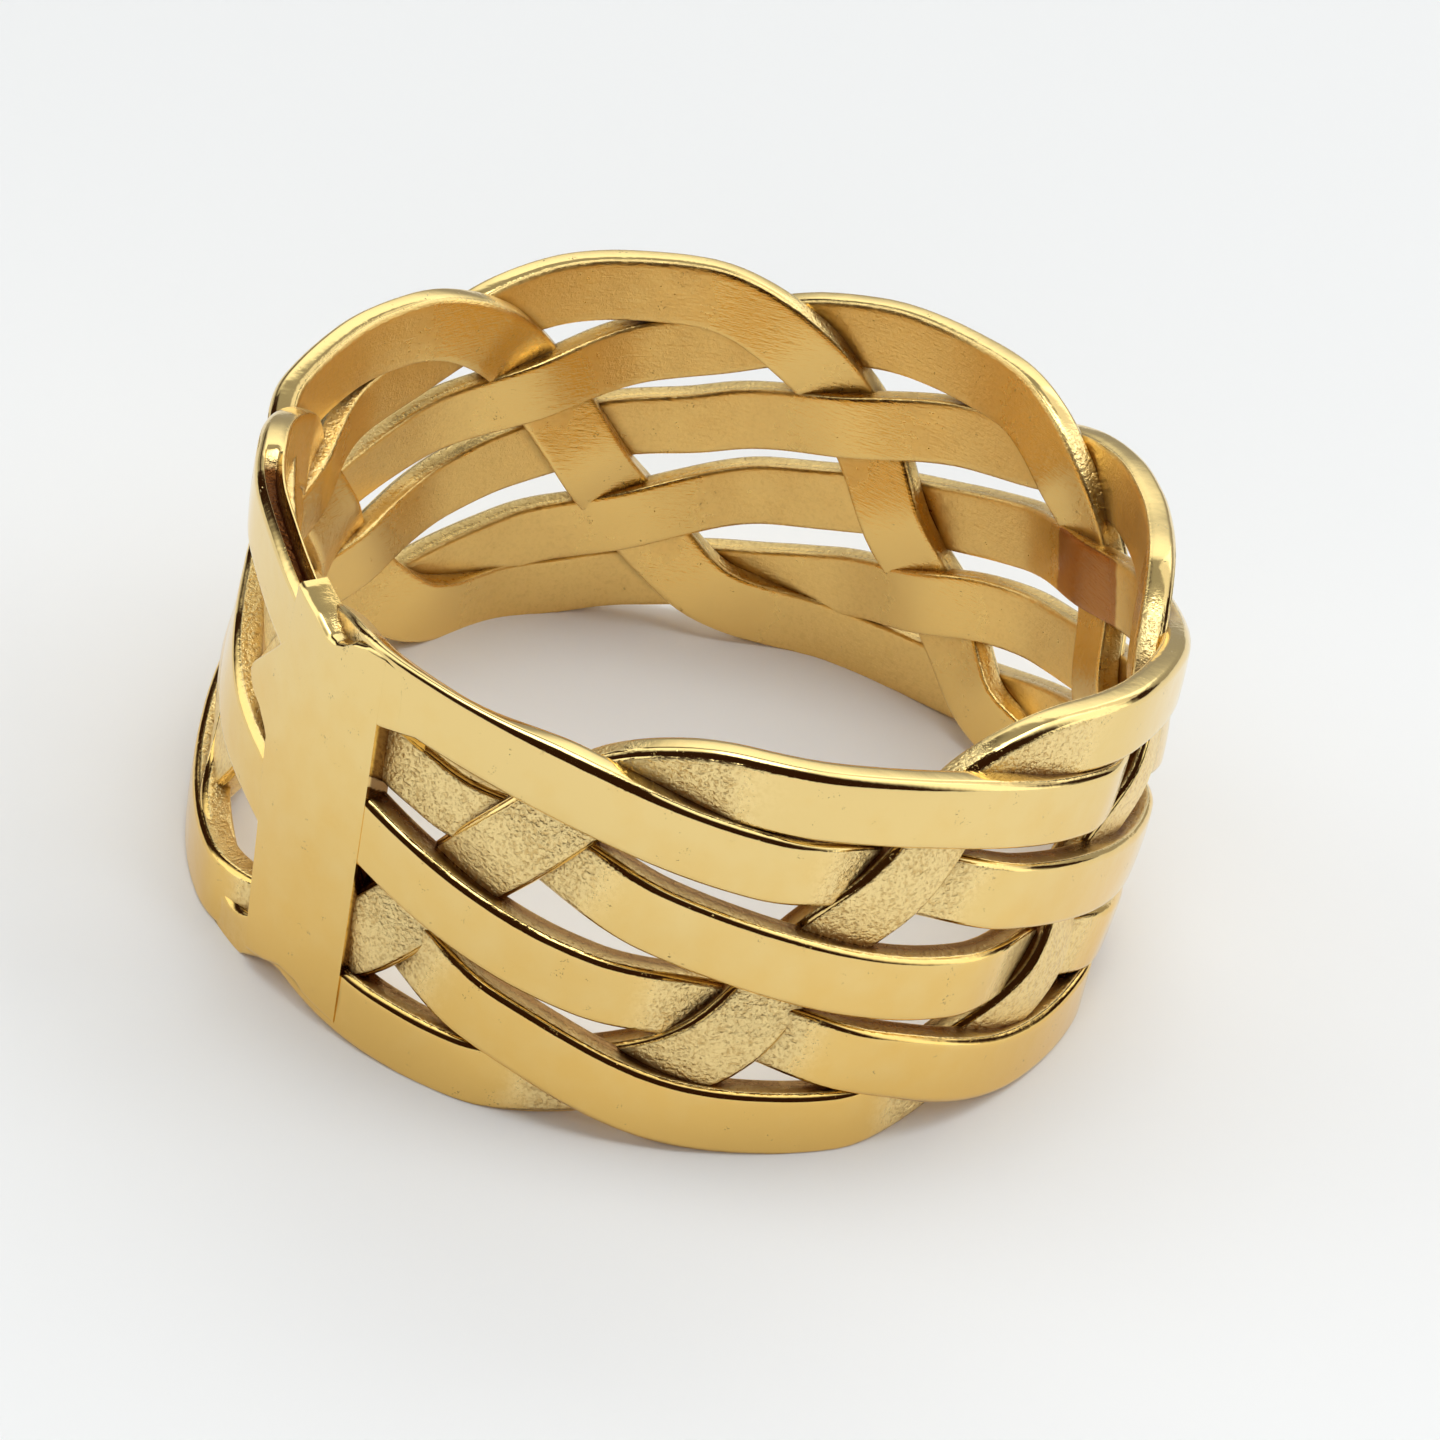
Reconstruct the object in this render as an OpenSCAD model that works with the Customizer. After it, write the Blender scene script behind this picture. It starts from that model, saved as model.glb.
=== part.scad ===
// A wide band ring, cast in one piece as a flat braid of six strands.
// The ring lies on its lower rim, so its axis is Z and the lowest scallops rest on Z = 0.
// Each strand slopes gently down the outside of the band and climbs steeply back up.
// A plain polished plate closes a short stretch of the braid.

/* [Finger size] */
// Inner diameter, which is a US size 8
bore_d = 18.2; // [15:0.1:22]

/* [Braid] */
// Width of the band from the lowest scallop to the highest
band_w = 9.6; // [9:0.1:11]
// Width of a strand on its long way down
strand_w = 1.55; // [1.4:0.05:1.75]
// Width of a strand on its short steep way up
climb_w = 1.7; // [1.4:0.05:1.85]
// Thickness of a strand
strand_t = 0.65; // [0.6:0.05:1]
// How far a strand sinks where another one crosses over it
weave_depth = 0.55; // [0.4:0.05:0.55]
// Bevel on the two outer edges of a strand
edge_bevel = 0.12; // [0.05:0.01:0.2]
// Depth to which the lowest scallops are dressed flat
rest_flat = 0.04; // [0.02:0.01:0.1]
// Angle of the first scallop to the right of the front
first_peak = 8.5; // [0:0.5:44]
// How far the band leans in or out where it is out of true
lean_in = 0.6; // [0:0.05:0.6]

/* [Plate] */
// Angle of the plate's straight edge, to the left of the front
plate_edge = -34.8; // [-40:0.1:-30]
// How far the plate's outer face lies under the raised strands, and its inner face proud of theirs
plate_step = 0.03; // [0.01:0.01:0.1]
// How much lower the rim's inner edge lies than its outer one beside the plate
rim_slope = 0.42; // [0:0.02:0.5]

/* [Hidden] */

// The rim has eight scallops, and a lobe is the turn from one scallop to the next.
LOBES = 8;
lobe_angle = 360 / LOBES;
// A strand goes down and up again in six lobes, where the next strand takes over.
STRAND_LOBES = 6;
STEPS = 40;

bore_r = bore_d / 2;
outer_r = bore_r + weave_depth + strand_t;
mid_r = outer_r - strand_t;
travel = (band_w - strand_w) / 2;
mid_height = band_w / 2 - rest_flat;
lobe_length = mid_r * lobe_angle * PI / 180;

// Where the middle of a strand runs, for the columns
// [lobes from its top, height as a share of its travel].
HEIGHTS = [
    [0.0,  1.00], [0.5,  0.88], [1.0,  0.64], [1.5,  0.41], [2.0,  0.11], [2.5, -0.19],
    [3.0, -0.38], [3.5, -0.67], [3.9, -0.93], [4.2, -1.00], [4.5, -1.00], [4.8, -0.89],
    [5.0, -0.65], [5.2, -0.23], [5.4,  0.27], [5.6,  0.70], [5.8,  0.93], [6.0,  1.00]
];
// How deep a strand lies, for the columns
// [lobes from its top, share of the weave depth].
SINKS = [
    [-0.3, 1], [0.25, 0], [1.1, 0], [1.47, 1], [1.85, 0], [2.7, 0], [3.08, 1], [3.45, 0],
    [4.4, 0], [4.8, 1], [5.08, 0.25], [5.26, 1], [5.46, 0.25], [5.7, 1], [6.25, 0]
];
// Stretches that lie at another depth than in the plain braid, all beside the plate, for the columns
// [strand, lobes from its top to the start, lobes to the end, share of the weave depth].
DEPTHS = [
    [5, 0.85, 1.65, 1.00],
    [6, 1.00, 1.15, 0.75],
    [3, 3.20, 3.80, 0.20],
    [1, 5.20, 5.65, 0.85],
    [1, 6.10, 6.30, 0.00],
    [7, 0.10, 0.30, 0.00]
];
// Stretches beside the plate and at the back that run higher or lower than in the plain braid,
// with a rise in the last column.
RISES = [
    [1, 5.05, 5.35, -0.7],
    [3, 3.10, 3.50, -1.9],
    [4, 2.20, 2.55, 0.4],
    [6, 1.05, 1.20, -0.3],
    [4, 0.45, 0.60, 0.2],
    [3, 0.45, 0.60, 0.25],
    [2, 0.45, 0.60, 0.2],
    [2, 2.25, 2.50, 0.35],
    [1, 2.40, 2.65, 0.16],
    [1, 3.30, 3.50, -0.15],
    [0, 3.25, 3.45, -0.2],
    [0, 3.95, 4.05, 0.25],
    [0, 4.70, 4.80, -0.25]
];
// Where the rim's upper side slopes down inwards beside the plate, for the columns
// [strand, lobes from its top to the start, lobes to the end].
SLOPED = [[7, -0.3, 0.22], [1, 5.7, 6.22]];
// How many lobes such a stretch takes to come in and to go out.
EASE = 0.35;
// The plate's lower and upper edges, for the columns
// [angle from the straight edge, height of the lower one, height of the upper one],
// with heights measured from the middle of the band.
PLATE = [
    [-26.3, 1.35, 1.6], [-22.3, 0.95, 2.4], [-19, 0.5, 3], [-18, -1.0, 4.5],
    [-16.8, -3.1, 4.48], [-15.9, -4.4, 4.44], [-12.8, -4.3, 4.33], [-9.8, -4.1, 4.13],
    [-8.3, -4.12, 4.14], [-6.6, -4.15, 4.28], [-5.3, -4.3, 4.47], [-3, -4.4, 4.62],
    [0, -4.5, 4.72]
];
// Where the upper rim widens into the plate, across the straight edge, for the same columns.
ROOT = [[-2, 2.92, 4.5], [6, 3.2, 4.4]];
// Where the band leans in, or out where the share is negative, for the columns
// [angle where it is deepest, reach to each side, height where it starts, height where it is full,
// share of the lean], with heights measured from the middle of the band.
LEANS = [
    [-122, 38, -1, 4, 0.75],
    [-66, 30, -1, 4, 0.65],
    [-90, 28, -3, 1, 0.85],
    [-90, 28, 1, 4, -0.75],
    [-62, 30, -1, -4.5, -0.3],
    [104, 26, 0, 4.4, 0.6],
    [82, 45, 0, -4.5, 0.6]
];

function smooth(t) = t * t * (3 - 2 * t);
function row_of(table, s) = max([for (i = [0 : len(table) - 2]) if (table[i][0] <= s) i]);

// How much of a table's row a strand takes on at s, from none to all of it.
function part_of(row, s, strand) = row[0] != strand ? 0 :
    smooth(share_of(s, row[1] - EASE, row[1])) * smooth(share_of(s, row[2] + EASE, row[2]));

function total(values) = values * [for (v = values) 1];

// Depth under the outside, eased between the rows of the table, or that of another depth there.
function sink_at(s, strand) =
    let (i = row_of(SINKS, s), a = SINKS[i], b = SINKS[i + 1],
         plain = a[1] + (b[1] - a[1]) * smooth((s - a[0]) / (b[0] - a[0])))
    weave_depth * (plain + total([for (row = DEPTHS) part_of(row, s, strand) * (row[3] - plain)]));

// Slope of the height curve at a row, from the rows on its two sides.
// The table closes on itself, since its last row is the top of the next strand.
function slope_of(i) =
    let (last = len(HEIGHTS) - 1,
         before = i == 0 ? HEIGHTS[last - 1] - [STRAND_LOBES, 0] : HEIGHTS[i - 1],
         after = i == last ? HEIGHTS[1] + [STRAND_LOBES, 0] : HEIGHTS[i + 1])
    (after[1] - before[1]) / (after[0] - before[0]);

// Height of a strand's middle, on a curve through the rows of the table.
function height_at(s, strand) =
    let (i = row_of(HEIGHTS, s), a = HEIGHTS[i], b = HEIGHTS[i + 1],
         span = b[0] - a[0], t = (s - a[0]) / span)
    travel * (a[1] + (b[1] - a[1]) * smooth(t)
        + span * t * (1 - t) * (slope_of(i) * (1 - t) - slope_of(i + 1) * t))
        + total([for (row = RISES) part_of(row, s, strand) * row[3]]);

// Angle by which a strand climbs, measured on the unrolled band, from that curve's slope.
function climb_at(s) =
    let (i = row_of(HEIGHTS, s), a = HEIGHTS[i], b = HEIGHTS[i + 1],
         span = b[0] - a[0], t = (s - a[0]) / span,
         rise = (b[1] - a[1]) / span * 6 * t * (1 - t)
             + slope_of(i) * (1 - t) * (1 - 3 * t) + slope_of(i + 1) * t * (3 * t - 2))
    atan(travel * rise / lobe_length);

function share_of(value, low, high) = max(0, min(1, (value - low) / (high - low)));

function width_at(s) =
    strand_w + (climb_w - strand_w) * share_of(sin(climb_at(s)), 0.3, 0.7);

// How far the band stands in from its round form.
function lean_at(angle, height, i = 0) =
    i == len(LEANS) ? 0 :
    let (lean = LEANS[i], away = abs((angle - lean[0] + 900) % 360 - 180))
    lean_in * lean[4] * smooth(share_of(away, lean[1], 0))
        * smooth(share_of(height, lean[2], lean[3]))
        + lean_at(angle, height, i + 1);

// A point on the ring from its angle, its radius and its height above the middle.
// What would reach under the resting plane is dressed flat there.
function ring_point(angle, radius, height) =
    let (r = radius - lean_at(angle, height))
    [r * sin(angle), -r * cos(angle), max(0, mid_height + height)];

// The six corners of a strand's section, from the outer upper bevel round to the inner side.
function section_at(s, shift) =
    let (half = width_at(s) / 2, outer = outer_r - sink_at(s, shift),
         climb = climb_at(s), angle = first_peak + (s + shift) * lobe_angle,
         drop = rim_slope * total([for (row = SLOPED) part_of(row, s, shift)]),
         corners = [
             [half - edge_bevel, outer], [half, outer - edge_bevel],
             [half - drop, outer - strand_t], [-half, outer - strand_t],
             [-half, outer - edge_bevel], [edge_bevel - half, outer]
         ])
    [for (c = corners) ring_point(
        angle - c[0] * sin(climb) / lobe_length * lobe_angle, c[1],
        height_at(s, shift) + c[0] * cos(climb))];

module strand(shift) {
    sides = 6;
    // The last section is the first one of the strand that takes over, so the two meet exactly.
    rings = [
        for (i = [0 : STEPS - 1]) section_at(i * STRAND_LOBES / STEPS, shift),
        section_at(0, (shift + STRAND_LOBES) % LOBES)
    ];
    // The two end faces are cut into the same triangles, so they cover each other at a joint.
    last = STEPS * sides;
    polyhedron(
        points = [for (ring = rings) each ring],
        faces = concat(
            [for (j = [1 : sides - 2]) [0, j + 1, j]],
            [for (i = [0 : STEPS - 1], j = [0 : sides - 1])
                let (a = i * sides + j, b = i * sides + (j + 1) % sides)
                [a, b, a + sides]],
            [for (i = [0 : STEPS - 1], j = [0 : sides - 1])
                let (a = i * sides + j, b = i * sides + (j + 1) % sides)
                [b, b + sides, a + sides]],
            [for (j = [1 : sides - 2]) [last, last + j, last + j + 1]]
        )
    );
}

// One slab of the plate, between two rows of its table.
module plate_slab(a, b) {
    inner = mid_r - plate_step;
    outer = outer_r - plate_step;
    corners = [for (row = [a, b])
        let (inner_top = max(row[1], row[2] - rim_slope))
        for (c = [[row[1], inner], [row[1], outer], [inner_top, inner], [row[2], outer]])
            ring_point(plate_edge + row[0], c[1], c[0])];
    hull() polyhedron(points = corners, faces = [
        [0, 1, 3, 2], [4, 6, 7, 5], [0, 4, 5, 1], [2, 3, 7, 6], [0, 2, 6, 4], [1, 5, 7, 3]]);
}

module woven_band() {
    color([0.83, 0.69, 0.40]) union() {
        for (k = [0 : LOBES - 1]) strand(k);
        for (i = [0 : len(PLATE) - 2]) plate_slab(PLATE[i], PLATE[i + 1]);
        plate_slab(ROOT[0], ROOT[1]);
    }
}

woven_band();
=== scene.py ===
# %% [markdown]
# # A braided band ring
#
# This lesson dresses a plain solid ring, so that it looks like a cast and polished one in gold colour.
# The real ring is a wide open braid of six flat strands. Its raised faces are polished, its sunken
# ones are left rough from the mould, and a plain plate closes a short stretch of the braid.
#
# The solid is loaded first. It fixes the size and the place, so nothing here has to be fitted by eye.

import math
from types import SimpleNamespace

import bpy
import numpy as np
from mathutils import Matrix, Vector
from mathutils.bvhtree import BVHTree


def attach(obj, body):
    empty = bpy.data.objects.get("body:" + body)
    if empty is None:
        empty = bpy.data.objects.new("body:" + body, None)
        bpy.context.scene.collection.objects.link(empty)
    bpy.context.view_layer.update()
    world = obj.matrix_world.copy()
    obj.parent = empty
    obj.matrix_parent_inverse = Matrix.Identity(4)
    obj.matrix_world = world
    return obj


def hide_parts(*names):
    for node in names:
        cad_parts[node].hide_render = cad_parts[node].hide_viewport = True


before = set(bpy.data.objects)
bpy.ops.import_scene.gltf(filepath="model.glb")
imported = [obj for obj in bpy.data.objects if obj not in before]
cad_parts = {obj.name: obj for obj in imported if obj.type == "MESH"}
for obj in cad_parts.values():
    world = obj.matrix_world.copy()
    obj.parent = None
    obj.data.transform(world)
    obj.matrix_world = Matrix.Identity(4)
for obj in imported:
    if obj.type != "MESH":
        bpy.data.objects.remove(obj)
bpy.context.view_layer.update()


def in_mm(lengths):
    return [round(v * 1000, 2) for v in lengths]


# %% [markdown]
# ## How a strand runs
#
# The rim has eight scallops, and the turn from one scallop to the next is a lobe. Each strand starts at
# the top of a scallop, slopes down for a little over four lobes, and climbs back up in the rest of six.
# There the next strand takes over. Eight such strands close the braid, and a cut across it meets six.
#
# The path could be drawn as a curve by hand. Short tables are used, because the height and the
# depth of a strand have to meet those of seven others, and a table shows at a glance where they cross.
# All lengths are in millimetres here, and are turned into metres when a mesh is laid on the ring.

# %% Sizes and tables of the braid
BORE_R = 9.1
STRAND_W = 1.55
CLIMB_W = 1.7
STRAND_T = 0.65
WEAVE_DEPTH = 0.55
BAND_W = 9.6
REST_FLAT = 0.04
FIRST_PEAK = 8.5
LEAN_IN = 0.6
LOBES = 8
STRAND_LOBES = 6
LOBE_ANGLE = 360 / LOBES
OUTER_R = BORE_R + WEAVE_DEPTH + STRAND_T
LOBE_LENGTH = math.radians((OUTER_R - STRAND_T) * LOBE_ANGLE)
TRAVEL = (BAND_W - STRAND_W) / 2
MID_HEIGHT = BAND_W / 2 - REST_FLAT

# Where the middle of a strand runs: lobes from its top, height as a share of its travel.
HEIGHTS = np.array([
    (0.0, 1.00), (0.5, 0.88), (1.0, 0.64), (1.5, 0.41), (2.0, 0.11), (2.5, -0.19),
    (3.0, -0.38), (3.5, -0.67), (3.9, -0.93), (4.2, -1.00), (4.5, -1.00), (4.8, -0.89),
    (5.0, -0.65), (5.2, -0.23), (5.4, 0.27), (5.6, 0.70), (5.8, 0.93), (6.0, 1.00),
])
# How deep a strand lies: lobes from its top, share of the weave depth.
SINKS = np.array([
    (-0.3, 1), (0.25, 0), (1.1, 0), (1.47, 1), (1.85, 0), (2.7, 0), (3.08, 1), (3.45, 0),
    (4.4, 0), (4.8, 1), (5.08, 0.25), (5.26, 1), (5.46, 0.25), (5.7, 1), (6.25, 0),
])
# Stretches beside the plate at another depth: strand, start, end, share of the weave depth.
DEPTHS = [
    (5, 0.85, 1.65, 1.00), (6, 1.00, 1.15, 0.75), (3, 3.20, 3.80, 0.20), (1, 5.20, 5.65, 0.85),
    (1, 6.10, 6.30, 0.00), (7, 0.10, 0.30, 0.00),
]
# Stretches beside the plate and at the back that run higher or lower: strand, start, end, rise.
RISES = [
    (1, 5.05, 5.35, -0.7), (3, 3.10, 3.50, -1.9), (4, 2.20, 2.55, 0.4), (6, 1.05, 1.20, -0.3),
    (4, 0.45, 0.60, 0.2), (3, 0.45, 0.60, 0.25), (2, 0.45, 0.60, 0.2), (2, 2.25, 2.50, 0.35),
    (1, 2.40, 2.65, 0.16), (1, 3.30, 3.50, -0.15), (0, 3.25, 3.45, -0.2), (0, 3.95, 4.05, 0.25),
    (0, 4.70, 4.80, -0.25),
]
# Where the rim's upper side slopes down inwards beside the plate: strand, start, end.
SLOPED = [(7, -0.3, 0.22), (1, 5.7, 6.22)]
RIM_SLOPE = 0.42
EASE = 0.35
# Where the band leans in, or out where the share is negative:
# angle, reach, height where it starts, height where it is full, share.
LEANS = [
    (-122, 38, -1, 4, 0.75), (-66, 30, -1, 4, 0.65), (-90, 28, -3, 1, 0.85), (-90, 28, 1, 4, -0.75),
    (-62, 30, -1, -4.5, -0.3), (104, 26, 0, 4.4, 0.6), (82, 45, 0, -4.5, 0.6),
]


# %% [markdown]
# Between two rows of a table a strand runs in a smooth curve. A depth comes to rest at each row, and
# a height keeps its slope through it, so that the strand doesn't climb in stairs. Such curves could
# be kept in the graph editor, but short functions work on all the points of a strand at once.

# %% Functions that read the tables
def smooth(t):
    return t * t * (3 - 2 * t)


def share_of(value, low, high):
    """0 at low, 1 at high, and straight between them. Low may be the larger one."""
    return np.clip((value - low) / (high - low), 0, 1)


def blend(share, first, second):
    """First where share is 0, second where it is 1."""
    return first + (second - first) * share


def degrees_away(angle, middle):
    return np.abs((angle - middle + 180) % 360 - 180)


def row_of(table, s):
    return np.clip(np.searchsorted(table[:, 0], s, side="right") - 1, 0, len(table) - 2)


def part_of(row, s, strand):
    """1 within the row's stretch of its own strand, easing to 0 beside it."""
    if row[0] != strand:
        return np.zeros_like(s)
    return smooth(share_of(s, row[1] - EASE, row[1])) * smooth(share_of(s, row[2] + EASE, row[2]))


def sink_at(s, strand):
    i = row_of(SINKS, s)
    t = (s - SINKS[i, 0]) / (SINKS[i + 1, 0] - SINKS[i, 0])
    plain = blend(smooth(t), SINKS[i, 1], SINKS[i + 1, 1])
    return WEAVE_DEPTH * (plain + sum(part_of(row, s, strand) * (row[3] - plain) for row in DEPTHS))


before = np.vstack([HEIGHTS[-2] - (STRAND_LOBES, 0), HEIGHTS[:-1]])
after = np.vstack([HEIGHTS[1:], HEIGHTS[1] + (STRAND_LOBES, 0)])
SLOPES = (after[:, 1] - before[:, 1]) / (after[:, 0] - before[:, 0])


def height_at(s, strand):
    i = row_of(HEIGHTS, s)
    span = HEIGHTS[i + 1, 0] - HEIGHTS[i, 0]
    t = (s - HEIGHTS[i, 0]) / span
    rise = HEIGHTS[i + 1, 1] - HEIGHTS[i, 1]
    curve = HEIGHTS[i, 1] + rise * smooth(t) + span * t * (1 - t) * (SLOPES[i] * (1 - t) - SLOPES[i + 1] * t)
    return TRAVEL * curve + sum(part_of(row, s, strand) * row[3] for row in RISES)


def climb_at(s):
    """The angle at which the strand climbs, from the slope of its height."""
    i = row_of(HEIGHTS, s)
    span = HEIGHTS[i + 1, 0] - HEIGHTS[i, 0]
    t = (s - HEIGHTS[i, 0]) / span
    rise = (HEIGHTS[i + 1, 1] - HEIGHTS[i, 1]) / span * 6 * t * (1 - t)
    rise = rise + SLOPES[i] * (1 - t) * (1 - 3 * t) + SLOPES[i + 1] * t * (3 * t - 2)
    return np.arctan(TRAVEL * rise / LOBE_LENGTH)


def lean_at(angle, height):
    """How far the band leans in from its true circle, in millimetres."""
    total = np.zeros_like(angle)
    for deepest, reach, start, full, share in LEANS:
        near = smooth(share_of(degrees_away(angle, deepest), reach, 0))
        total += LEAN_IN * share * near * smooth(share_of(height, start, full))
    return total


def ring_point(angle, radius, height):
    """Metres, from an angle in degrees and a radius and height above the band's middle in millimetres."""
    r = (radius - lean_at(angle, height)) / 1000
    turn = np.radians(angle)
    up = np.maximum(0, MID_HEIGHT + height) / 1000
    return np.stack([r * np.sin(turn), -r * np.cos(turn), up], axis=-1)


print("outer radius", round(OUTER_R, 2), "mm, one lobe", round(LOBE_LENGTH, 2), "mm")

# %% [markdown]
# ## Selecting in code
#
# An operator of edit mode acts on what is selected. By hand one would click the long edges of a
# strand before a bevel. Here every edge or polygon is asked where it lies or faces instead, because
# its number changes with each step, while its place is known. The loaded solid is still selected
# too, so every new piece starts with nothing selected.

# %% Functions that select
SELECT_MODES = {"edges": "EDGE", "polygons": "FACE"}


def select_none():
    if bpy.context.object and bpy.context.object.mode != "OBJECT":
        bpy.ops.object.mode_set(mode="OBJECT")
    bpy.ops.object.select_all(action="DESELECT")


def pick(obj, domain, wanted):
    """Selects the edges or polygons for which wanted(element) is true, and enters edit mode."""
    mesh = obj.data
    bpy.ops.object.mode_set(mode="OBJECT")
    for part in (mesh.vertices, mesh.edges, mesh.polygons):
        part.foreach_set("select", np.zeros(len(part), bool))
    bpy.ops.object.mode_set(mode="EDIT")
    bpy.ops.mesh.select_mode(type=SELECT_MODES[domain])
    bpy.ops.object.mode_set(mode="OBJECT")
    for element in getattr(mesh, domain):
        element.select = bool(wanted(element))
    bpy.ops.object.mode_set(mode="EDIT")


print("selected by the loading:", len(bpy.context.selected_objects), "object")

# %% [markdown]
# ## One strand as a straight bar
#
# A real strand is a flat ribbon with a chamfer along its two outer edges, worn round by polishing.
# It could be a curve with a bevel profile, but a curve can't lie flat on the ring while it climbs.
# So the strand is first made straight, as a joiner would plane a bar: a grid is extruded
# to its thickness, and its long edges are bevelled. Its length is counted in lobes along X. The
# ends are left open, because each strand runs on into the next.

# %% Make the straight bar
STEPS = 250
ACROSS_STEPS = 8
EDGE_BEVEL = 0.17
INNER_BEVEL = 0.09
# The side faces are built up in steps, so that they can be domed or hollowed later.
SIDE_STEPS = (0.18, 0.04, 0.21, 0.04, 0.18)
NEAR = 1e-4


def long_edge(obj, depth):
    """A test for the edges that run along the bar at its sides, at this depth."""
    points = obj.data.vertices

    def wanted(edge):
        a, b = (points[i].co for i in edge.vertices)
        at_side = abs(abs(a.y) - STRAND_W / 2) < NEAR and abs(a.y - b.y) < NEAR
        return at_side and abs(a.z - depth) < NEAR and abs(b.z - depth) < NEAR

    return wanted


select_none()
bpy.ops.mesh.primitive_grid_add(x_subdivisions=STEPS, y_subdivisions=ACROSS_STEPS, size=1)
bar = bpy.context.object
bpy.ops.transform.resize(value=(STRAND_LOBES, STRAND_W, 1))
bpy.ops.transform.translate(value=(STRAND_LOBES / 2, 0, 0))
bpy.ops.object.transform_apply(location=True, rotation=True, scale=True)
bpy.ops.object.mode_set(mode="EDIT")
bpy.ops.mesh.select_all(action="SELECT")
for step in SIDE_STEPS:
    bpy.ops.mesh.extrude_region_move(TRANSFORM_OT_translate={"value": (0, 0, -step)})
bpy.ops.mesh.select_all(action="SELECT")
bpy.ops.mesh.normals_make_consistent(inside=False)
pick(bar, "edges", long_edge(bar, 0))
bpy.ops.mesh.bevel(offset=EDGE_BEVEL, segments=5, profile=0.5, affect="EDGES")
pick(bar, "edges", long_edge(bar, -STRAND_T))
bpy.ops.mesh.bevel(offset=INNER_BEVEL, segments=3, profile=0.5, affect="EDGES")
pick(bar, "polygons", lambda face: abs(face.normal.x) > 0.9)
bpy.ops.mesh.delete(type="FACE")
select_none()
print("bar of", len(bar.data.polygons), "faces")

# %% [markdown]
# ## Lay the bars on the ring
#
# Each copy of the bar is bent round the finger hole, point by point, by the functions above.
# An armature or a curve modifier could bend it too, but neither knows how deep a strand sinks.
#
# What the mould and the file left is added on the way. The faces are crowned a little, the rim's own
# side face is slightly domed, nothing is quite even, and one stretch of the rim, left of the plate,
# has a long casting hollow in its upper side.

# %% How uneven the faces are
# Waves of the unevenness: how many go round the ring, and how they slant with height.
WAVES = [(7, 0.9), (11, -0.7), (17, 1.6), (23, -1.3), (31, 2.1)]
WAVE_SEED = 3
WOBBLE = 0.006


def wobble(angle, height):
    """A soft unevenness, as hand finishing leaves: a few waves that close on themselves round the ring."""
    turn = np.radians(angle)
    waves = 0
    for k, (count, slant) in enumerate(WAVES):
        waves = waves + np.sin(count * turn + slant * height + WAVE_SEED * (k + 1.7)) / (k + 2)
    return WOBBLE * waves


print("faces uneven by up to", round(float(np.abs(wobble(np.arange(360), 0)).max()), 3), "mm")

# %% Bend one bar
# Sine of the climb from which a strand is wider, and at which it has its full width.
STEEP = (0.3, 0.7)
# Height of the rim's side face: where it starts, where it is full.
RIM_SIDE = (3.6, 4.1)
SIDE_DOME = 0.06
CROWN = 0.02
# The crown fades out round the plate, so that the strands meet it flush.
PLATE_MIDDLE = -48
PLATE_REACH = (32, 18)
# The hollow: its strand, where it starts and ends, its middle and half width as shares of the thickness.
HOLLOW_STRAND = 6
HOLLOW_START = (0.03, 0.11)
HOLLOW_END = (0.76, 0.64)
HOLLOW_MIDDLE = 0.55
HOLLOW_HALF = (0.28, 0.2)
HOLLOW_DEPTH = 0.4


def bend(strand, s, across, depth):
    """Lays points of the bar on the ring, and keeps what their finish will depend on."""
    at_side = share_of(np.abs(across), STRAND_W / 2 - EDGE_BEVEL, STRAND_W / 2)
    climb = climb_at(s)
    steep = share_of(np.sin(climb), *STEEP)
    across = across * blend(steep, 1, CLIMB_W / STRAND_W)
    through = depth / STRAND_T
    rim_side = smooth(share_of(np.abs(height_at(s, strand) + across), *RIM_SIDE)) * at_side
    across = across + np.sign(across) * rim_side * SIDE_DOME * 4 * through * (1 - through)
    hollow = smooth(share_of(s, *HOLLOW_START)) * smooth(share_of(s, *HOLLOW_END)) * (strand == HOLLOW_STRAND)
    hollow = hollow * smooth(share_of(np.abs(through - HOLLOW_MIDDLE), *HOLLOW_HALF)) * (across > 0) * at_side
    across = across - HOLLOW_DEPTH * hollow
    slope = RIM_SLOPE * sum(part_of(row, s, strand) for row in SLOPED)
    across = across - slope * through * share_of(across, -STRAND_W / 2, STRAND_W / 2)
    sink = sink_at(s, strand)
    angle = FIRST_PEAK + (s + strand) * LOBE_ANGLE
    beside_plate = share_of(degrees_away(angle, PLATE_MIDDLE), *PLATE_REACH)
    angle = angle - across * np.sin(climb) / LOBE_LENGTH * LOBE_ANGLE
    height = height_at(s, strand) + across * np.cos(climb)
    crown = CROWN * (1 - beside_plate) * (2 * across / STRAND_W) ** 2 * (1 - through)
    radius = OUTER_R - sink - depth - crown - wobble(angle, height)
    place = SimpleNamespace(
        s=s, depth=depth, through=through, at_side=at_side, steep=steep,
        rim_side=rim_side, hollow=hollow, sink=sink, turn=np.radians(angle),
    )
    return ring_point(angle, radius, height), place


rim, _ = bend(0, np.array([0.0]), np.array([STRAND_W / 2]), np.array([0.0]))
print("top of the first scallop at", in_mm(rim[0].tolist()), "mm")

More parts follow.
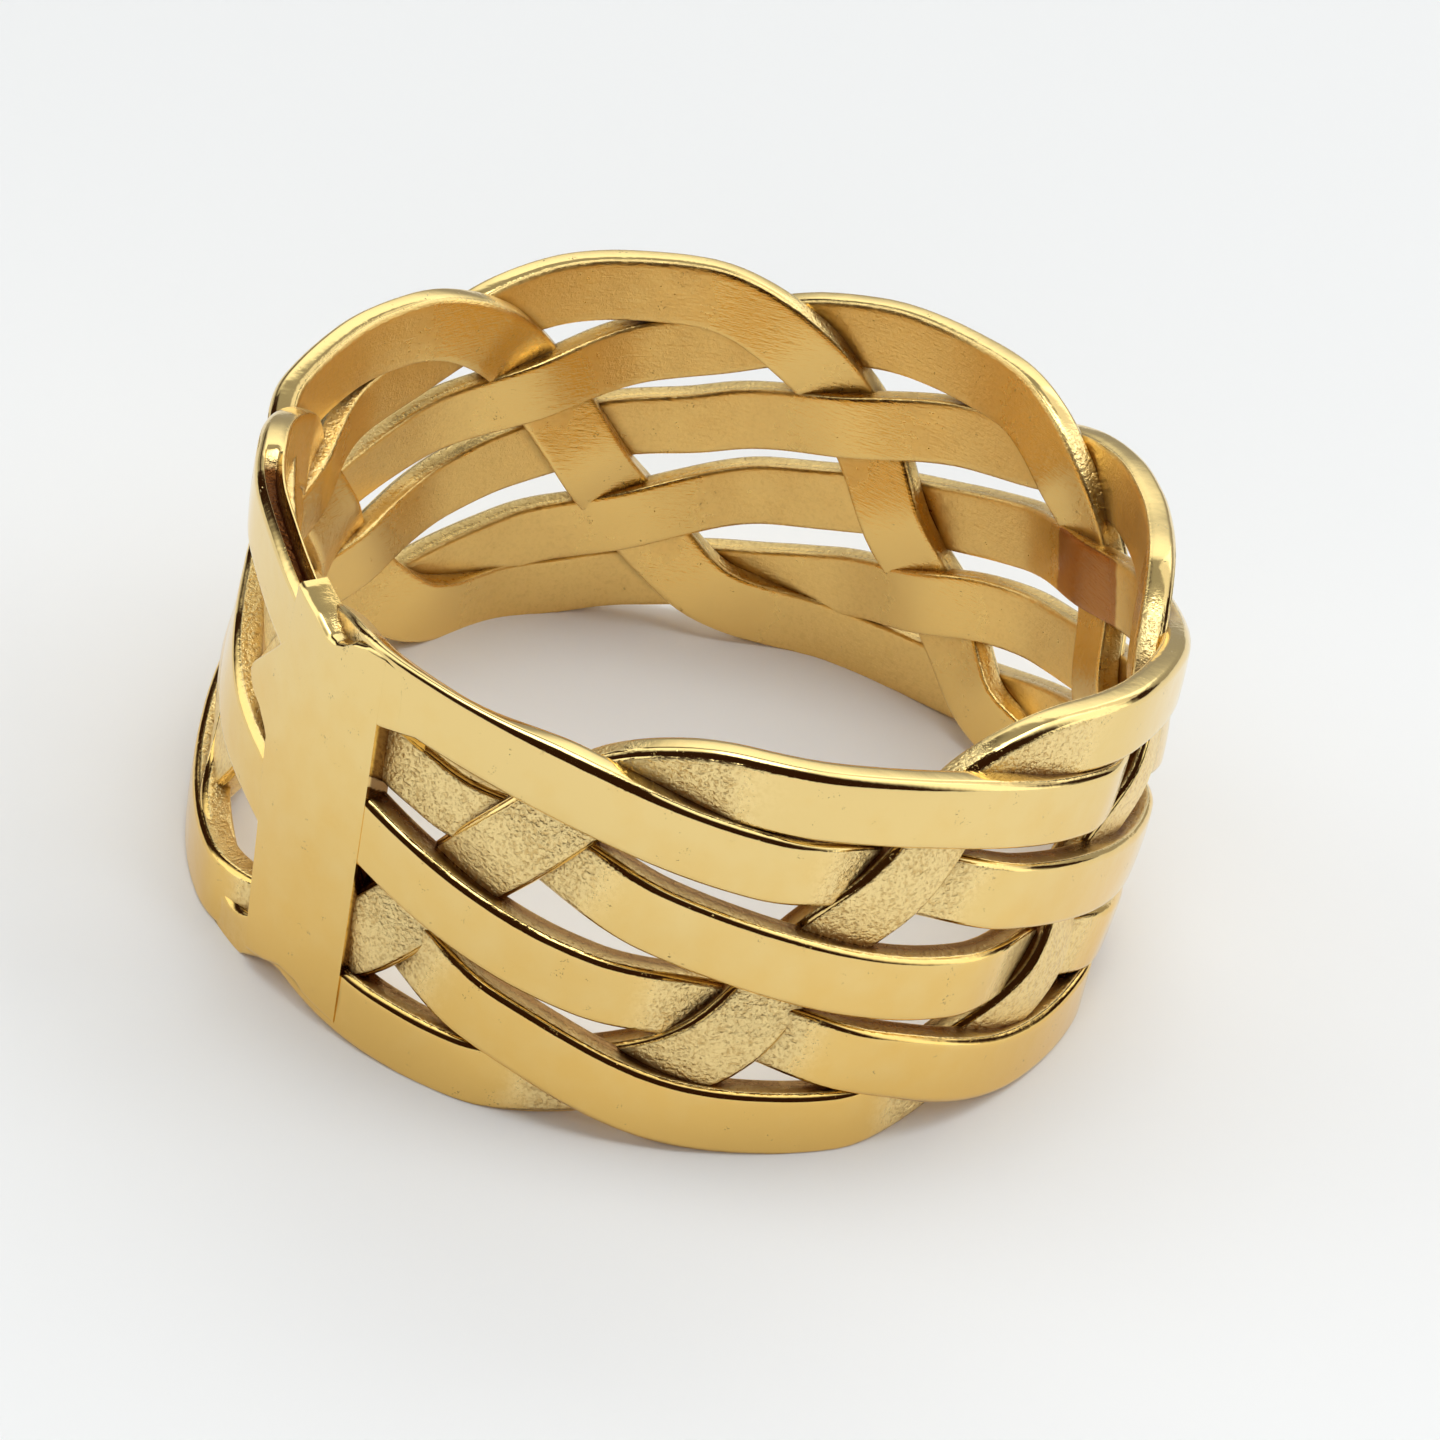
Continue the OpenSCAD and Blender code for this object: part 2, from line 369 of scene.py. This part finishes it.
# %% [markdown]
# ## How each place was finished
#
# On the real ring the finish changes along each strand. It could be painted on the mesh by hand, but
# it follows from how deep and how steep a strand runs. So each point is told how it was finished, and
# where shade or a reflection is painted, in four attributes that run from 0 to 1.
#
# - `polish`: the polishing wheel reaches what stands highest, so it is 1 there and fades as a strand
#   sinks. The steep stretches were never polished, because the wheel runs round the ring and skips
#   them. It missed two stretches of the rim beside the plate too.
# - `inside`: the inner faces were brushed to a satin finish. It is 1 there, and less on the sides.
# - The third paints shade on the side faces between the strands, which came fairly shiny from the
#   mould: more at the front than at the back, and none on the left, where they stay sandy. The casting
#   hollow in the rim gets painted shade as well.
# - The fourth paints a red-brown reflection on one inner face on the right.

# %% Tell each point its finish
# How deep the polishing wheel reaches, and what it does to the bevels, from the face to the side.
POLISH_REACH = 0.42
BEVEL_POLISH = (0.2, 0.7)
# Steepness at which the wheel starts to skip the face, or the rim's side, and at which it misses it.
FACE_SKIPPED = (0, 0.5)
RIM_SKIPPED = (0.1, 0.6)
# Polish of the inner faces where the strand is raised, and where it is sunk to the bore.
BORE_POLISH = (0.5, 0.8)
BORE_SINK = (0.1, 0.5)
# Stretches of the rim that were never polished: strand, start, end.
ROUGH_RIM = [(6, 0.66, 1.0), (1, 5.6, 5.92)]
ROUGH_EASE = 0.07
# Where a side face starts and ends, as shares of the thickness.
WALL_START = (0.2, 0.5)
WALL_END = (0.98, 0.85)
SIDE_POLISH = 0.6
SIDE_SATIN = 0.7
# Painted shade on the side faces at the front and at the back.
SIDE_SHADE = (1.0, 0.25)
# The stretch of inner face with the painted red-brown reflection: strand, start, end.
REFLECTION_PATCH = (1, 1.3, 1.56)
REFLECTION_PATCH_EASE = 0.1


def add_attribute(mesh, name, values):
    attribute = mesh.attributes.new(name, "FLOAT", "POINT")
    attribute.data.foreach_set("value", np.ascontiguousarray(values, dtype=np.float32))


def stretch_of(row, s, strand, ease):
    """1 within the row's stretch of its own strand, falling straight to 0 beside it."""
    return share_of(s, row[1] - ease, row[1]) * share_of(s, row[2] + ease, row[2]) * (strand == row[0])


def finish(mesh, strand, place):
    face = smooth(share_of(place.sink, POLISH_REACH, 0)) * (1 - smooth(share_of(place.steep, *FACE_SKIPPED)))
    face = np.maximum(face, smooth(share_of(place.at_side, *BEVEL_POLISH)))
    outside = share_of(place.depth, EDGE_BEVEL + 0.01, EDGE_BEVEL * 0.6)
    inside = share_of(place.depth, STRAND_T - INNER_BEVEL - 0.01, STRAND_T - 0.02)
    bored = blend(smooth(share_of(place.sink, *BORE_SINK)), *BORE_POLISH)
    never = smooth(share_of(place.steep, *RIM_SKIPPED))
    for row in ROUGH_RIM:
        never = np.maximum(never, stretch_of(row, place.s, strand, ROUGH_EASE))
    left = smooth(share_of(-np.sin(place.turn), 0.75, 0.9))
    behind = smooth(share_of(-np.cos(place.turn), -0.3, 0.3))
    wall = place.at_side * share_of(place.through, *WALL_START) * share_of(place.through, *WALL_END)
    wall = wall * (1 - place.rim_side)

    polish = np.maximum(face * outside, place.rim_side * (1 - never))
    polish = np.maximum(polish, SIDE_POLISH * wall * (1 - left)) * (1 - place.hollow)
    add_attribute(mesh, "polish", np.maximum(polish * (1 - inside), bored * inside))
    add_attribute(mesh, "inside", np.maximum(inside, SIDE_SATIN * wall * (1 - left)))
    # Painted shade on the side faces, more at the front and none on the left, and in the casting hollow.
    add_attribute(mesh, "oxide", np.maximum(blend(behind, *SIDE_SHADE) * (1 - left) * wall, place.hollow))
    # A painted red-brown reflection on one stretch of inner face.
    add_attribute(mesh, "stain", stretch_of(REFLECTION_PATCH, place.s, strand, REFLECTION_PATCH_EASE) * inside)


print("polish of a face sunk half way:", round(float(smooth(share_of(WEAVE_DEPTH / 2, POLISH_REACH, 0))), 2))

# %% [markdown]
# Eight copies of the bar are laid, one from each scallop, and joined. They could stay eight pieces,
# but the real braid is one casting, so the points where their ends meet are merged, and the light
# runs on over them.

# %% Lay and join eight strands
WELD = 2e-6
SMOOTH_ANGLE = math.radians(40)


def coordinates(mesh):
    flat = np.empty(len(mesh.vertices) * 3, dtype=np.float32)
    mesh.vertices.foreach_get("co", flat)
    return flat.reshape(-1, 3).astype(float)


def lay_strand(strand):
    mesh = bar.data.copy()
    piece = bpy.data.objects.new(f"strand_{strand}", mesh)
    bpy.context.scene.collection.objects.link(piece)
    s, across, up = coordinates(mesh).T
    points, place = bend(strand, s, across, -up)
    mesh.vertices.foreach_set("co", points.ravel())
    finish(mesh, strand, place)
    return piece


def smooth_outwards():
    """Turns the faces of the active piece outwards, and shades it smooth except at sharp edges."""
    bpy.ops.object.mode_set(mode="EDIT")
    bpy.ops.mesh.select_all(action="SELECT")
    bpy.ops.mesh.normals_make_consistent(inside=False)
    bpy.ops.object.mode_set(mode="OBJECT")
    bpy.ops.object.shade_smooth_by_angle(angle=SMOOTH_ANGLE)


strands = [lay_strand(k) for k in range(LOBES)]
bpy.data.objects.remove(bar)
select_none()
for piece in strands:
    piece.select_set(True)
bpy.context.view_layer.objects.active = strands[0]
bpy.ops.object.join()
braid = bpy.context.object
braid.name = braid.data.name = "braid"
bpy.ops.object.mode_set(mode="EDIT")
bpy.ops.mesh.select_all(action="SELECT")
bpy.ops.mesh.remove_doubles(threshold=WELD)
smooth_outwards()
print("braid of", len(braid.data.polygons), "faces")

# %% [markdown]
# ## The plate
#
# A plain plate closes the braid to the left of the front. It is level with the raised strands, so
# it seems to grow out of them, and only shows an edge where a sunken strand or a gap lies beside it.
# It could be cut out of a curved sheet with a drawn outline. It is a grid again, extruded to its
# thickness and shaped to the outline column by column, so that it is smooth to light along its curve.

# %% Make the plate's grid
PLATE_EDGE = -34.8
# Angle from the straight edge, height of the lower edge, height of the upper edge.
PLATE = np.array([
    (-26.6, 1.42, 1.50), (-26.2, 1.25, 1.68), (-24.5, 1.05, 2.0), (-22.3, 0.95, 2.4), (-20.0, 0.7, 2.85),
    (-19.0, 0.5, 3.05), (-18.0, -1.0, 4.5), (-16.8, -3.1, 4.48), (-15.9, -4.4, 4.44), (-12.8, -4.3, 4.33),
    (-9.8, -4.1, 4.13), (-8.3, -4.12, 4.14), (-6.6, -4.15, 4.28), (-5.3, -4.3, 4.47), (-3.0, -4.4, 4.62),
    (0, -4.5, 4.66), (0.02, 2.98, 4.65), (6.0, 3.22, 4.5),
])
# One column of the grid stands at each of these angles, with a close pair at the straight edge.
COLUMNS = np.concatenate([np.linspace(PLATE[0, 0], 0, 90), np.linspace(PLATE[-2, 0], PLATE[-1, 0], 18)])
PLATE_ROWS = 80

select_none()
bpy.ops.mesh.primitive_grid_add(x_subdivisions=len(COLUMNS) - 1, y_subdivisions=PLATE_ROWS, size=2)
plate = bpy.context.object
plate.name = plate.data.name = "plate"
bpy.ops.object.mode_set(mode="EDIT")
bpy.ops.mesh.select_all(action="SELECT")
bpy.ops.mesh.extrude_region_move(TRANSFORM_OT_translate={"value": (0, 0, -1)})
bpy.ops.mesh.select_all(action="SELECT")
bpy.ops.mesh.normals_make_consistent(inside=False)
bpy.ops.object.mode_set(mode="OBJECT")
print("plate of", len(plate.data.polygons), "faces in", len(COLUMNS), "columns")

# %% [markdown]
# Each point of the flat slab is now sent to its place on the ring. The outer edges are rounded, the
# end on the right dives a little under the rim strand that it grows into, and the upper side slopes
# inwards there as the rim does. Bevel and bend could do a part of this, but not along an outline that
# changes from column to column.

# %% Shape the plate
PLATE_LIFT = 0.004
PLATE_ROUND = 0.12
# How far the plate's end dives, and the column where it starts to.
PLATE_DIVE = 0.01
DIVE_START = 0.5
# The rows crowd towards the plate's edges by this power, to give the rounding enough faces.
ROW_CROWDING = 1.6
# Columns over which the plate's upper side comes to slope inwards.
SLOPE_START = (-6, -2)

# In the grid x and y run from -1 to 1, and z runs from 0 outside to -1 inside.
x, y, z = coordinates(plate.data).T
y = np.sign(y) * (1 - (1 - np.abs(y)) ** ROW_CROWDING)
column = COLUMNS[np.rint((x + 1) / 2 * (len(COLUMNS) - 1)).astype(int)]
low, high = (np.interp(column, PLATE[:, 0], PLATE[:, k]) for k in (1, 2))
top = np.maximum(low, high + RIM_SLOPE * z * smooth(share_of(column, *SLOPE_START)))
height = low + (top - low) * (y + 1) / 2
angle = PLATE_EDGE + column
from_edge = np.minimum((high - low) * (1 - np.abs(y)) / 2, PLATE_ROUND)
rounding = PLATE_ROUND - np.sqrt(PLATE_ROUND**2 - (PLATE_ROUND - from_edge) ** 2)
lift = PLATE_LIFT - PLATE_DIVE * share_of(column, DIVE_START, PLATE[-1, 0])
radius = OUTER_R + lift + z * STRAND_T - rounding * (1 + z) - wobble(angle, height)
plate.data.vertices.foreach_set("co", ring_point(angle, radius, height).ravel())
print("plate from", round(float(angle.min()), 1), "to", round(float(angle.max()), 1), "degrees")

# %% [markdown]
# The plate gets the attributes that the strands have. It is polished outside and brushed inside, as
# they are. Its top was left rough in the dip, and its straight edge, where it stands over the braid,
# gets painted shade.

# %% Tell the plate its finish
# Columns over which the dip in the plate's top starts and ends.
DIP_START = (-13, -11)
DIP_END = (-2, -4)
# Polish of the plate's inner face, and painted shade on its straight edge from outside to inside.
PLATE_BORE_POLISH = 0.8
PLATE_EDGE_SHADE = (0.35, 1.0)

in_dip = share_of(column, *DIP_START) * share_of(column, *DIP_END) * (y > 0.98)
straight_edge = (np.abs(column - PLATE[-2, 0]) < 0.03) * (y < -0.99)
add_attribute(plate.data, "polish", 1 + z * blend(in_dip, 1 - PLATE_BORE_POLISH, 1))
add_attribute(plate.data, "inside", -z * (1 - in_dip))
# Painted shade on the plate's straight edge, strongest inside.
add_attribute(plate.data, "oxide", blend(-z, *PLATE_EDGE_SHADE) * straight_edge)
smooth_outwards()
print("rough in the dip:", int(np.count_nonzero(in_dip)), "points of", len(in_dip))

# %% [markdown]
# ## Where shade is painted
#
# The crossings of the real ring lie in shade, and that shade is painted into the gold's colour. How
# sheltered a point is could be painted by hand. Here it is measured: from each point a fan of short
# rays goes out, and the share that soon hits metal is kept as `shelter`. Each value is then averaged
# with its neighbours a few times, so that the edges of the painted shade are soft.

# %% Measure the shelter of each point
RAYS = 26
# In metres: how far a ray looks, and how far off the surface it starts.
REACH = 0.0015
START_OFF = 2e-5
BLUR_PASSES = 4


def fan(count):
    """Directions spread evenly over a half sphere about +Z."""
    rays = []
    for i in range(count):
        up = 1 - (i + 0.5) / count
        turn = i * math.pi * (3 - math.sqrt(5))
        side = math.sqrt(1 - up * up)
        rays.append(Vector((side * math.cos(turn), side * math.sin(turn), up)))
    return rays


def shelter_of(v, rays, tree):
    """The share of a vertex's rays that hit metal. A hit at the end of the reach counts half."""
    turn = Vector((0, 0, 1)).rotation_difference(v.normal)
    start = v.co + v.normal * START_OFF
    blocked = 0
    for ray in rays:
        distance = tree.ray_cast(start, turn @ ray, REACH)[3]
        if distance is not None:
            blocked += 1 - 0.5 * distance / REACH
    return blocked / len(rays)


def blur(mesh, values):
    """Averages each vertex's value with those at the other ends of its edges."""
    a, b = np.array([edge.vertices for edge in mesh.edges]).T
    degree = np.bincount(np.concatenate([a, b]), minlength=len(values))
    for _ in range(BLUR_PASSES):
        around = np.bincount(a, values[b], len(values)) + np.bincount(b, values[a], len(values))
        values = (values + around / degree) / 2
    return values


points, faces = [], []
for piece in (braid, plate):
    first = len(points)
    points += [v.co.copy() for v in piece.data.vertices]
    faces += [[first + i for i in face.vertices] for face in piece.data.polygons]
tree = BVHTree.FromPolygons(points, faces)
rays = fan(RAYS)
for piece in (braid, plate):
    values = np.array([shelter_of(v, rays, tree) for v in piece.data.vertices])
    values = blur(piece.data, values)
    add_attribute(piece.data, "shelter", values)
    print(piece.name, "mean shelter", round(float(values.mean()), 3))


# %% [markdown]
# ## Shader maths written as sums
#
# A material is a sheet of nodes. Wiring them by hand hides the sum that they do, so a small class
# wraps a socket and lets it stand in a Python expression. Each plus or times adds one Math node.

# %% A wire that can be added and multiplied
class Wire:
    """A socket that adds a Math node when it stands in an expression."""

    def __init__(self, sheet, socket):
        self.sheet = sheet
        self.socket = socket

    def math(self, operation, *values):
        return self.sheet.add("ShaderNodeMath", {"operation": operation}, dict(enumerate(values)))

    def __add__(self, other):
        return self.math("ADD", self, other)

    def __radd__(self, other):
        return self.math("ADD", other, self)

    def __sub__(self, other):
        return self.math("SUBTRACT", self, other)

    def __rsub__(self, other):
        return self.math("SUBTRACT", other, self)

    def __mul__(self, other):
        return self.math("MULTIPLY", self, other)

    def __rmul__(self, other):
        return self.math("MULTIPLY", other, self)

    def clamp(self):
        return self.sheet.add("ShaderNodeClamp", {}, {"Value": self})

    def between(self, low, high):
        """0 below low, 1 above high, with a soft step between."""
        return self.sheet.add(
            "ShaderNodeMapRange",
            {"interpolation_type": "SMOOTHSTEP"},
            {"Value": self, "From Min": low, "From Max": high},
        )


# %% [markdown]
# Every other node comes from the sheet. Each could be added and wired in lines of its own, but one
# method that takes its type, its settings and its inputs keeps a noise to one line.

# %% A sheet of nodes
class Sheet:
    """The node sheet of one material or of the world, with the node that its light comes from."""

    def __init__(self, tree, end):
        self.tree = tree
        self.end = tree.nodes[end]

    def add(self, kind, settings, inputs, output=0):
        """One node: its type, its settings, the values or wires of its sockets, and the output to use."""
        node = self.tree.nodes.new(kind)
        for key, value in settings.items():
            if key == "stops":
                ramp = node.color_ramp.elements
                while len(ramp) < len(value):
                    ramp.new(0.5)
                for stop, (place, colour) in zip(ramp, value):
                    stop.position = place
                    stop.color = (*colour, 1)
            else:
                setattr(node, key, value)
        for key, value in inputs.items():
            if isinstance(value, Wire):
                self.tree.links.new(value.socket, node.inputs[key])
            else:
                node.inputs[key].default_value = value
        return Wire(self, node.outputs[output])

    def feed(self, **inputs):
        for key, value in inputs.items():
            socket = self.end.inputs[key.replace("_", " ")]
            if isinstance(value, Wire):
                self.tree.links.new(value.socket, socket)
            else:
                socket.default_value = value

    def position(self, output):
        return self.add("ShaderNodeTexCoord", {}, {}, output)

    def attribute(self, name):
        return self.add("ShaderNodeAttribute", {"attribute_name": name}, {}, "Fac")

    def axes(self, place):
        """The three numbers of a place or a direction."""
        split = self.add("ShaderNodeSeparateXYZ", {}, {0: place}).socket.node
        return [Wire(self, output) for output in split.outputs]

    def stretch(self, place, factors):
        """The place with its three lengths multiplied, so that a pattern laid on it is squeezed."""
        return self.add("ShaderNodeVectorMath", {"operation": "MULTIPLY"}, {0: place, 1: factors})

    def noise(self, place, scale, detail=2.0, roughness=0.5):
        sockets = {"Vector": place, "Scale": scale, "Detail": detail, "Roughness": roughness}
        return self.add("ShaderNodeTexNoise", {}, sockets)

    def mix(self, share, a, b):
        """Colour a where share is 0 and colour b where it is 1. Sockets 6, 7 and 2 are those for colours."""
        first, second = (c if isinstance(c, Wire) else (*c, 1) for c in (a, b))
        return self.add("ShaderNodeMix", {"data_type": "RGBA"}, {0: share, 6: first, 7: second}, 2)


def new_material(name):
    material = bpy.data.materials.new(name)
    material.use_nodes = True
    return material, Sheet(material.node_tree, "Principled BSDF")


# %% [markdown]
# ## Gold in three finishes
#
# The whole ring is one metal. What changes is how it was finished. The polished faces are smooth with
# a few fine pits, and a little redder near the floor: painted shade for the darker floor that they
# mirror there. The sunken and climbing ones are rough from the mould, with a sandy grain and brown
# pores, and painted shade darkens the hollows. The inside of the band has a satin finish with faint
# file marks, and a painted red-brown reflection on the right.
#
# Three materials could be given to three sets of faces, but the finishes fade into each other, so
# one material mixes them. Its patterns are all noises laid in millimetres, each at its own scale.

# %% Patterns in the gold
gold, sheet = new_material("gold")
mm = sheet.stretch(sheet.position("Object"), (1000.0, 1000.0, 1000.0))
cloud = sheet.noise(mm, 1.1, 3.0)
wrinkle = sheet.noise(mm, 6.0, 3.0, 0.6)
grain = sheet.noise(mm, 15.0, 2.0, 0.6)
pore = sheet.noise(mm, 12.0, 2.0)
pinhole = sheet.noise(mm, 21.0, 1.0)
file_marks = sheet.noise(sheet.stretch(mm, (3.0, 3.0, 22.0)), 1.0, 2.0, 0.6)
rare = sheet.noise(mm, 2.3, 2.0)
print("gold with its patterns:", len(gold.node_tree.nodes), "nodes")

# %% [markdown]
# The attributes of the mesh tell how a place was finished, and the patterns break up the border, as
# polish fades in patches where the wheel leaves the metal. Masks could be painted as pictures too,
# but a sum stays sharp from close by.
#
# Pits are rare and lie anywhere. Pores and specks lie in the rough parts. The darkest mask is painted
# shade in the crossings, on the side faces, in the hollow and at the plate's edge, with the specks added.

# %% Where each finish shows
polish = sheet.attribute("polish")
inside = sheet.attribute("inside")
shelter = sheet.attribute("shelter")
oxide = sheet.attribute("oxide")
rough_part = (polish + (cloud - 0.5) * 0.6 + (wrinkle - 0.5) * 0.4).between(0.95, 0.12)
# Painted shade: where the rays found shelter, and on the shaded side faces, the hollow and the plate's edge.
in_shade = (shelter.between(0.33, 0.82) + oxide).clamp()
stain = (sheet.attribute("stain") + (cloud - 0.5) * 0.6).between(0.4, 0.6)
pits = (rare.between(0.65, 0.72) * pinhole.between(0.64, 0.70)).clamp()
pores = (pore + (cloud - 0.5) * 0.3).between(0.40, 0.78) * rough_part * (1 - inside * 0.5)
specks = pinhole.between(0.66, 0.74) * rough_part * (1 - inside * 0.6)
shade_and_specks = (in_shade * 0.8 + in_shade * rough_part * 0.2 + specks * 0.15).clamp()
print("gold with its masks:", len(gold.node_tree.nodes), "nodes")

# %% [markdown]
# The polished gold is deep near the floor and pale at the top, with a random cloud over it: the height
# part is painted shade for the darker floor that the low faces mirror. The other tones are laid over it
# one after the other, the widest first: the matte of the rough parts, the satin inside, the brown of
# pores and wrinkles, the painted red-brown reflection, painted shade with specks, and pits. One picture
# of all the colours could be painted instead, but then a tone couldn't be changed alone.

# %% Colours of the gold
# Deep and pale: the polished gold, deeper low down as painted shade for the darker floor that the low faces
# mirror.
deep = (0.87, 0.57, 0.17)
pale = (0.90, 0.67, 0.275)
matte = (1.0, 0.77, 0.35)
satin = (0.98, 0.675, 0.23)
brown = (0.66, 0.40, 0.12)
# The colour of a painted red-brown reflection on one inner face.
reflection_brown = (0.42, 0.12, 0.02)
# The colour of painted shade, which pits take as well.
shade_and_pit_dark = (0.14, 0.048, 0.012)
# Height, as painted shade, and a random cloud choose between deep and pale.
height_shade_and_cloud = {"Fac": sheet.axes(mm)[2] * 0.1 + (cloud - 0.5) * 0.8}
colour = sheet.add("ShaderNodeValToRGB", {"stops": [(0.12, deep), (0.83, pale)]}, height_shade_and_cloud)
colour = sheet.mix(rough_part, colour, matte)
colour = sheet.mix(inside * 0.8, colour, satin)
colour = sheet.mix((pores * 0.5 + (wrinkle - 0.5) * rough_part * 1.1).clamp(), colour, brown)
# A painted red-brown reflection.
colour = sheet.mix(stain * 0.8, colour, reflection_brown)
# Painted shade in the crossings, on the side faces, in the hollow and at the plate's edge, with the specks.
colour = sheet.mix(shade_and_specks, colour, shade_and_pit_dark)
colour = sheet.mix(pits * 0.4, colour, shade_and_pit_dark)
print("gold with its colours:", len(gold.node_tree.nodes), "nodes")

# %% [markdown]
# A polished face mirrors sharply, and a rough one spreads the light. The sandy grain itself could be
# modelled, but that would take millions of faces, so a bump only tilts the light. What stands out
# counts up and what is sunk counts down.

# %% Shine and relief
# In metres: how high a relief of 1 stands.
RELIEF_HEIGHT = 0.00005

rough = 0.10 + rough_part * 0.24 + inside * 0.10 + (cloud - 0.5) * 0.05
relief = (grain * 0.5 + wrinkle * 1.4 - pores * 0.7 - specks * 0.4) * rough_part
relief = relief - pits * 0.6 + cloud * 0.5 + file_marks * 0.25 * inside
bump = sheet.add("ShaderNodeBump", {}, {"Strength": 0.7, "Distance": RELIEF_HEIGHT, "Height": relief})
sheet.feed(Base_Color=colour, Metallic=1.0, Roughness=rough.clamp(), Normal=bump)
print("gold in all:", len(gold.node_tree.nodes), "nodes")

# %% [markdown]
# Both pieces carry the same gold. They lie on the solid ring's one body, and are shown in its place.

# %% Put the gold on both pieces
for piece in (braid, plate):
    piece.data.materials.clear()
    piece.data.materials.append(gold)
    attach(piece, "root")
    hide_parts("woven_band")
print("gold on", braid.name, "and", plate.name)

# %% [markdown]
# ## Floor, light and camera
#
# The ring lies on a plain pale surface. It could be modelled as thick paper with a curved rise at
# the back, but the camera looks down and sees no end of it, so a flat sheet is enough.

# %% Floor
FLOOR_SIZE = 2

select_none()
bpy.ops.mesh.primitive_grid_add(x_subdivisions=4, y_subdivisions=4, size=FLOOR_SIZE)
floor = bpy.context.object
floor.name = "floor"
paper, sheet = new_material("paper")
sheet.feed(Base_Color=(0.90, 0.90, 0.915, 1), Roughness=0.6)
floor.data.materials.append(paper)
print("floor of", len(floor.data.polygons), "faces")

# %% [markdown]
# Polished metal shows its surroundings more than itself, so the light is soft and wide, as in a
# white tent. A few darker places give the reflections an edge, and a brighter patch overhead draws
# thin highlights along the bevels. Panels could be hung round the ring for all of this, but the
# places are easier to move as sums in the sky. There a direction is three numbers from -1 to 1, which
# tell how far it points to the right, behind and up.

# %% Sky
world = bpy.data.worlds.new("tent")
bpy.context.scene.world = world
world.use_nodes = True
sky = Sheet(world.node_tree, "Background")
across, behind, above = sky.axes(sky.position("Generated"))
front_dark = (0 - behind).between(0.05, 0.40) * above.between(0.985, 0.92)
back_dark = behind.between(0.2, 0.35) * behind.between(0.66, 0.58)
low_dark = behind.between(0.3, 0.6) * above.between(0.66, 0.15)
left_dark = (0 - across).between(0.25, 0.5) * behind.between(0.3, 0.5) * above.between(0.15, 0.3)
gloom = (front_dark + back_dark * 0.75 + low_dark * 0.75 + left_dark * 0.4).clamp()
overhead = above.between(0.94, 0.985)
sky.feed(Color=sky.mix(gloom, (0.97, 1.0, 0.985), (0.02, 0.008, 0.004)), Strength=overhead * 2.5 + 1.45)
print("sky of", len(world.node_tree.nodes), "nodes")

# %% [markdown]
# A sky alone throws hardly any shadow. One lamp behind on the right draws it. A second in front only
# fills it on the floor, and the metal doesn't mirror it. A sun could take their place, but the light
# of a near lamp falls off across the floor, as on a real table.

# %% Lamps
LAMP_SIZE = 0.16
LAMP_TARGET = Vector((0, 0, 0.004))


def softbox(name, place, power, mirrored=True):
    light = bpy.data.lights.new(name, "AREA")
    light.size = LAMP_SIZE
    light.energy = power
    lamp = bpy.data.objects.new(name, light)
    bpy.context.scene.collection.objects.link(lamp)
    lamp.location = place
    lamp.visible_glossy = mirrored
    lamp.rotation_euler = (LAMP_TARGET - Vector(place)).to_track_quat("-Z", "Y").to_euler()


softbox("key", place=(0.11, 0.09, 0.14), power=0.05)
softbox("fill", place=(0.0, -0.17, 0.10), power=0.11, mirrored=False)
bpy.context.scene.view_settings.view_transform = "Standard"
bpy.context.scene.view_settings.look = "Medium Contrast"
print(len(bpy.data.lights), "lamps of", LAMP_SIZE * 1000, "mm")

# %% [markdown]
# The camera looks down at the ring from the front, a little rolled, with a long lens. Its place was
# worked out from points on the real ring's photograph, so it is written here as plain numbers.

# %% Camera
FOCAL_LENGTH = 135.04
ELEVATION = 0.582733
ROLL = 0.187125
DISTANCE = 0.116493
TARGET = Vector((0.000803, 0, 0.003868))

camera = bpy.data.objects.new("camera", bpy.data.cameras.new("camera"))
bpy.context.scene.collection.objects.link(camera)
back = Vector((0, -math.cos(ELEVATION), math.sin(ELEVATION)))
level = Vector((1, 0, 0))
upright = Vector((0, math.sin(ELEVATION), math.cos(ELEVATION)))
up = upright * math.cos(ROLL) - level * math.sin(ROLL)
right = level * math.cos(ROLL) + upright * math.sin(ROLL)
pose = Matrix((right, up, back)).transposed().to_4x4()
pose.translation = TARGET + back * DISTANCE
camera.matrix_world = pose
camera.data.lens = FOCAL_LENGTH
camera.data.sensor_width = 36
camera.data.clip_start = 0.001
bpy.context.scene.camera = camera
print("camera at", in_mm(pose.translation), "mm")
